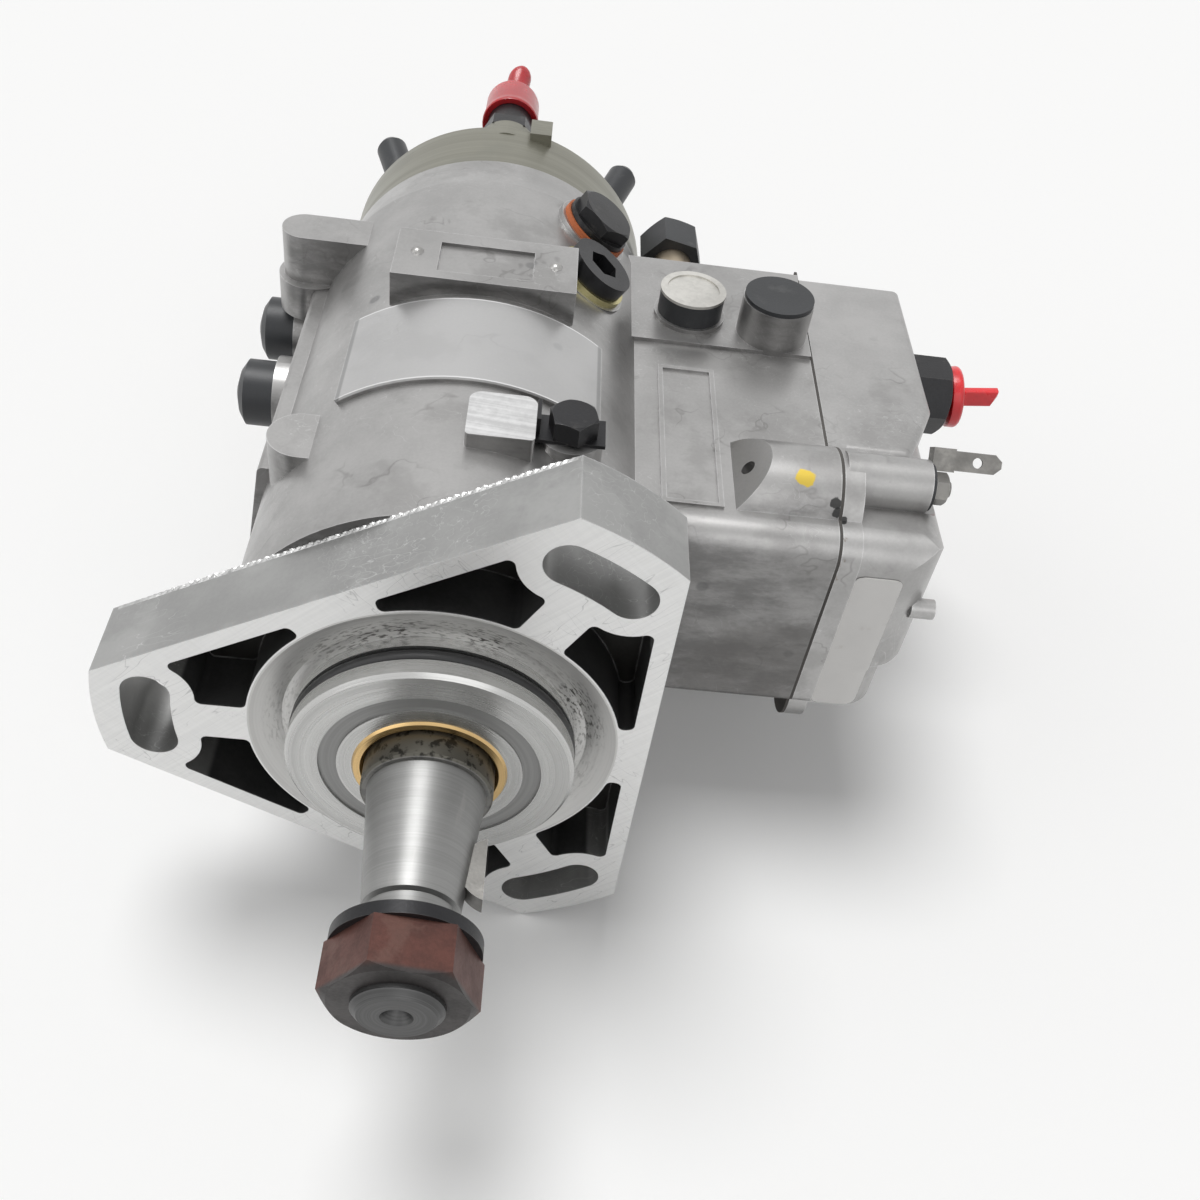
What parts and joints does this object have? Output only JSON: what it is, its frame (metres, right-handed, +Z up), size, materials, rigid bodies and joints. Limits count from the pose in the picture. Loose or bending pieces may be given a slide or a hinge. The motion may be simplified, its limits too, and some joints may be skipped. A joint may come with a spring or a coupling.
{
  "type": "diesel injection pump",
  "caption": "Rotary distributor diesel injection pump with a triangular slotted flange, tapered drive shaft with nut, and a governor housing with an electric shut-off cover.",
  "frame": {"origin": "on the drive axis at the machined front face of the mounting flange", "axes": "-Y along the drive axis out of the tapered shaft nose, +X towards the governor housing and its cover, +Z up as the pump lies on a bench"},
  "size_m": [0.223, 0.3148, 0.1384],
  "materials": {
    "cast_aluminium": "as-cast satin",
    "milled_aluminium": "milled bright",
    "turned_steel": "turned",
    "head_steel": "satin olive grey",
    "black_oxide_steel": "black oxide",
    "plain_steel": "plain",
    "bronze_bush": "turned",
    "rusty_nut_steel": "reddish brown heat colour",
    "black_rubber": "smooth",
    "gasket_fibre": "matt",
    "black_plastic": "moulded",
    "red_plastic": "translucent",
    "zinc_washer": "yellow zinc",
    "orange_seal": "matt",
    "tan_fitting": "plated tan",
    "copper_coil": "lacquered winding"
  },
  "bodies": {
    "pump": {"pump_housing": "cast_aluminium", "governor_cover": "cast_aluminium", "mounting_flange": "milled_aluminium", "bore_cup": "milled_aluminium", "pilot_hub": "turned_steel", "pump_liner": "turned_steel", "cam_ring": "turned_steel", "hinge_pins": "turned_steel", "hydraulic_head": "head_steel", "end_plate": "head_steel", "front_hex_plug": "black_oxide_steel", "socket_plug": "black_oxide_steel", "head_plug": "black_oxide_steel", "locating_screws": "black_oxide_steel", "socket_screws": "black_oxide_steel", "inlet_fitting": "black_oxide_steel", "return_connector": "black_oxide_steel", "regulator_plug": "black_oxide_steel", "plug_lock_plate": "black_oxide_steel", "second_bore_cap": "black_oxide_steel", "governor_spring": "plain_steel", "discharge_fittings": "plain_steel", "window_cover": "plain_steel", "window_screws": "plain_steel", "terminal_nut": "plain_steel", "terminal_stud": "plain_steel", "terminal_blade": "plain_steel", "nameplate_rivets": "plain_steel", "shaft_bush": "bronze_bush", "o_rings": "black_rubber", "face_seal_ring": "black_rubber", "shaft_seals": "black_rubber", "cover_gasket": "gasket_fibre", "side_caps": "black_plastic", "rear_port_cap": "black_plastic", "bore_sleeve": "black_plastic", "discharge_caps": "black_plastic", "terminal_insulator": "black_plastic", "inlet_plug": "red_plastic", "return_plug": "red_plastic", "socket_plug_washer": "zinc_washer", "head_plug_seal": "orange_seal", "rear_port_fitting": "tan_fitting", "shutoff_coil": "copper_coil"},
    "drive": {"drive_shaft": "turned_steel", "shaft_key": "turned_steel", "shaft_washer": "black_oxide_steel", "shaft_nut": "rusty_nut_steel", "governor_cage": "plain_steel", "governor_weights": "plain_steel", "distributor_rotor": "turned_steel", "rotor_elements": "turned_steel"},
    "throttle": {"throttle_shaft": "turned_steel", "throttle_lever": "plain_steel", "throttle_nut": "plain_steel"},
    "arm": {"governor_arm": "plain_steel"},
    "sleeve": {"thrust_sleeve": "plain_steel"},
    "linkage": {"governor_linkage": "plain_steel"},
    "metering": {"metering_valve": "turned_steel"},
    "flap": {"shutoff_armature": "plain_steel"}
  },
  "joints": [
    {"name": "drive_turn", "type": "hinge", "parent": "pump", "child": "drive", "pos_m": [0, 0, 0], "axis": [0, 1, 0], "continuous": true},
    {"name": "throttle_turn", "type": "hinge", "parent": "pump", "child": "throttle", "pos_m": [0.0565, 0.136, -0.035], "axis": [0, 0, 1], "range_deg": [0, 40]},
    {"name": "arm_tilt", "type": "hinge", "parent": "pump", "child": "arm", "pos_m": [0.046, 0.05525, 0], "axis": [0, 0, 1], "range_deg": [0, 5]},
    {"name": "sleeve_slide", "type": "slide", "parent": "pump", "child": "sleeve", "axis": [0, -1, 0], "range_m": [0, 0.004]},
    {"name": "link_slide", "type": "slide", "parent": "pump", "child": "linkage", "axis": [0, 1, 0], "range_m": [0, 0.0022]},
    {"name": "metering_turn", "type": "hinge", "parent": "pump", "child": "metering", "pos_m": [0.05, 0.15, 0], "axis": [1, 0, 0], "range_deg": [-20.5, 0]},
    {"name": "shutoff_swing", "type": "hinge", "parent": "pump", "child": "flap", "pos_m": [0.0871, 0.0635, 0], "axis": [0, 0, 1], "range_deg": [0, 9]}
  ],
  "couplings": [
    {"joint": "arm_tilt", "follows": "sleeve_slide", "rad_per_m": 21.739},
    {"joint": "link_slide", "follows": "sleeve_slide", "ratio": 0.52174},
    {"joint": "metering_turn", "follows": "sleeve_slide", "rad_per_m": -86.957}
  ]
}
